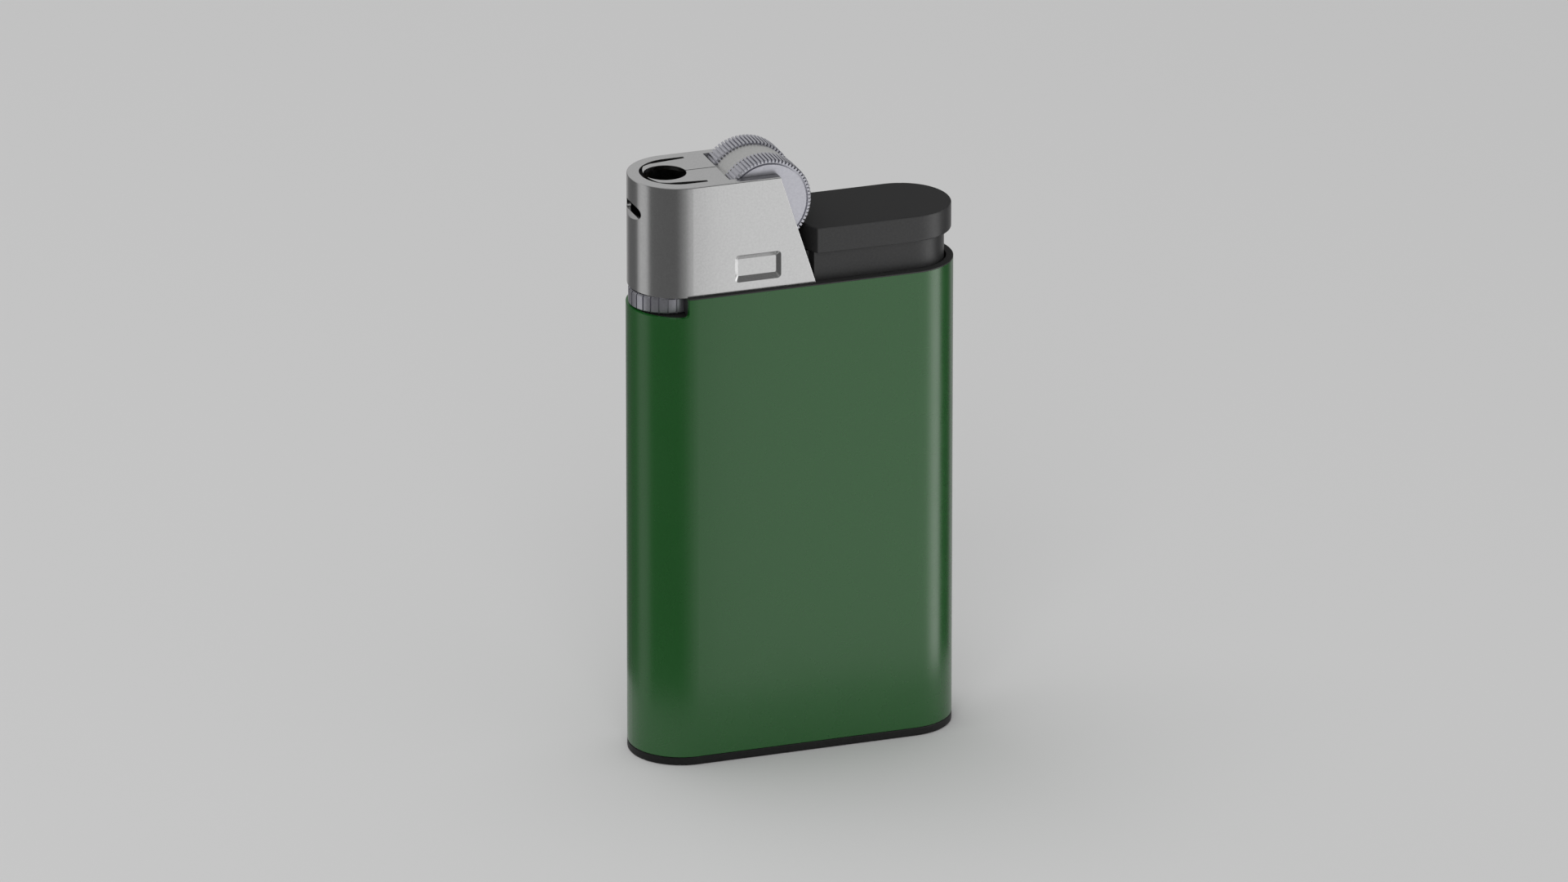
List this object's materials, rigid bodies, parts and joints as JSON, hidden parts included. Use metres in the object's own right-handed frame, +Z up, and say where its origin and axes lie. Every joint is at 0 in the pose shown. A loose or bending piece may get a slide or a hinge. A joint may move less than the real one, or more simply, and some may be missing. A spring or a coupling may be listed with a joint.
{
  "type": "pocket gas lighter",
  "caption": "Pocket gas lighter with a flat oval body, pressed metal hood, toothed spark wheels with a guard band, thumb lever and flame adjuster ring.",
  "frame": {"origin": "middle of the base's underside", "axes": "+Z up along the body, +Y across its thin side along the wheel axle, -X towards the flame end"},
  "size_m": [0.0332, 0.0108, 0.0617],
  "materials": {
    "green_plastic": "satin moulded plastic",
    "black_plastic": "fine grained matte plastic",
    "hood_steel": "satin pressed steel",
    "wheel_steel": "satin tumbled steel",
    "spring_steel": "drawn wire",
    "valve_brass": "turned",
    "seal_rubber": "smooth",
    "wick_fibre": "bonded fibre",
    "flint_alloy": "dull pressed alloy"
  },
  "bodies": {
    "case": {"body_shell": "green_plastic", "base_plug": "black_plastic", "fill_ball": "spring_steel", "collar": "black_plastic", "hood": "hood_steel", "guard_band": "hood_steel", "lever_pin": "spring_steel", "lever_spring": "spring_steel", "flint_tube": "valve_brass", "flint_spring": "spring_steel", "wick": "wick_fibre"},
    "wheels": {"thumb_wheel_left": "wheel_steel", "thumb_wheel_right": "wheel_steel", "spark_wheel": "spring_steel", "wheel_axle": "spring_steel"},
    "lever": {"thumb_lever": "black_plastic"},
    "valve": {"adjuster_ring": "wheel_steel", "valve_body": "valve_brass", "valve_gasket": "seal_rubber", "stem_seal": "seal_rubber", "valve_spring": "spring_steel", "flow_membrane": "wick_fibre", "retaining_washer": "spring_steel"},
    "jet_stem": {"jet": "valve_brass", "seat_pad": "seal_rubber"},
    "flint_body": {"flint": "flint_alloy"}
  },
  "joints": [
    {"name": "wheel_spin", "type": "hinge", "parent": "case", "child": "wheels", "pos_m": [-0.00362, 0, 0.0572], "axis": [0, 1, 0], "continuous": true},
    {"name": "lever_press", "type": "hinge", "parent": "case", "child": "lever", "pos_m": [-0.0086, 0, 0.0505], "axis": [0, 1, 0], "range_deg": [0, 6.3], "stiffness_Nm_per_rad": 0.003, "springref_deg": -11.46, "deforming": ["lever_spring"]},
    {"name": "adjuster_turn", "type": "hinge", "parent": "case", "child": "valve", "pos_m": [-0.01275, 0, 0.0475], "axis": [0, 0, 1], "range_deg": [-60, 60]},
    {"name": "jet_lift", "type": "slide", "parent": "valve", "child": "jet_stem", "axis": [0, 0, 1], "range_m": [0, 0.0005], "stiffness_N_per_m": 0.0001, "springref_m": 14.0718, "deforming": ["valve_spring"]},
    {"name": "flint_feed", "type": "slide", "parent": "case", "child": "flint_body", "axis": [0, 0, 1], "range_m": [-0.002, 0], "stiffness_N_per_m": 1.2, "springref_m": 0.004, "deforming": ["flint_spring"]}
  ],
  "couplings": [
    {"joint": "jet_lift", "follows": "lever_press", "m_per_rad": 0.00415}
  ]
}
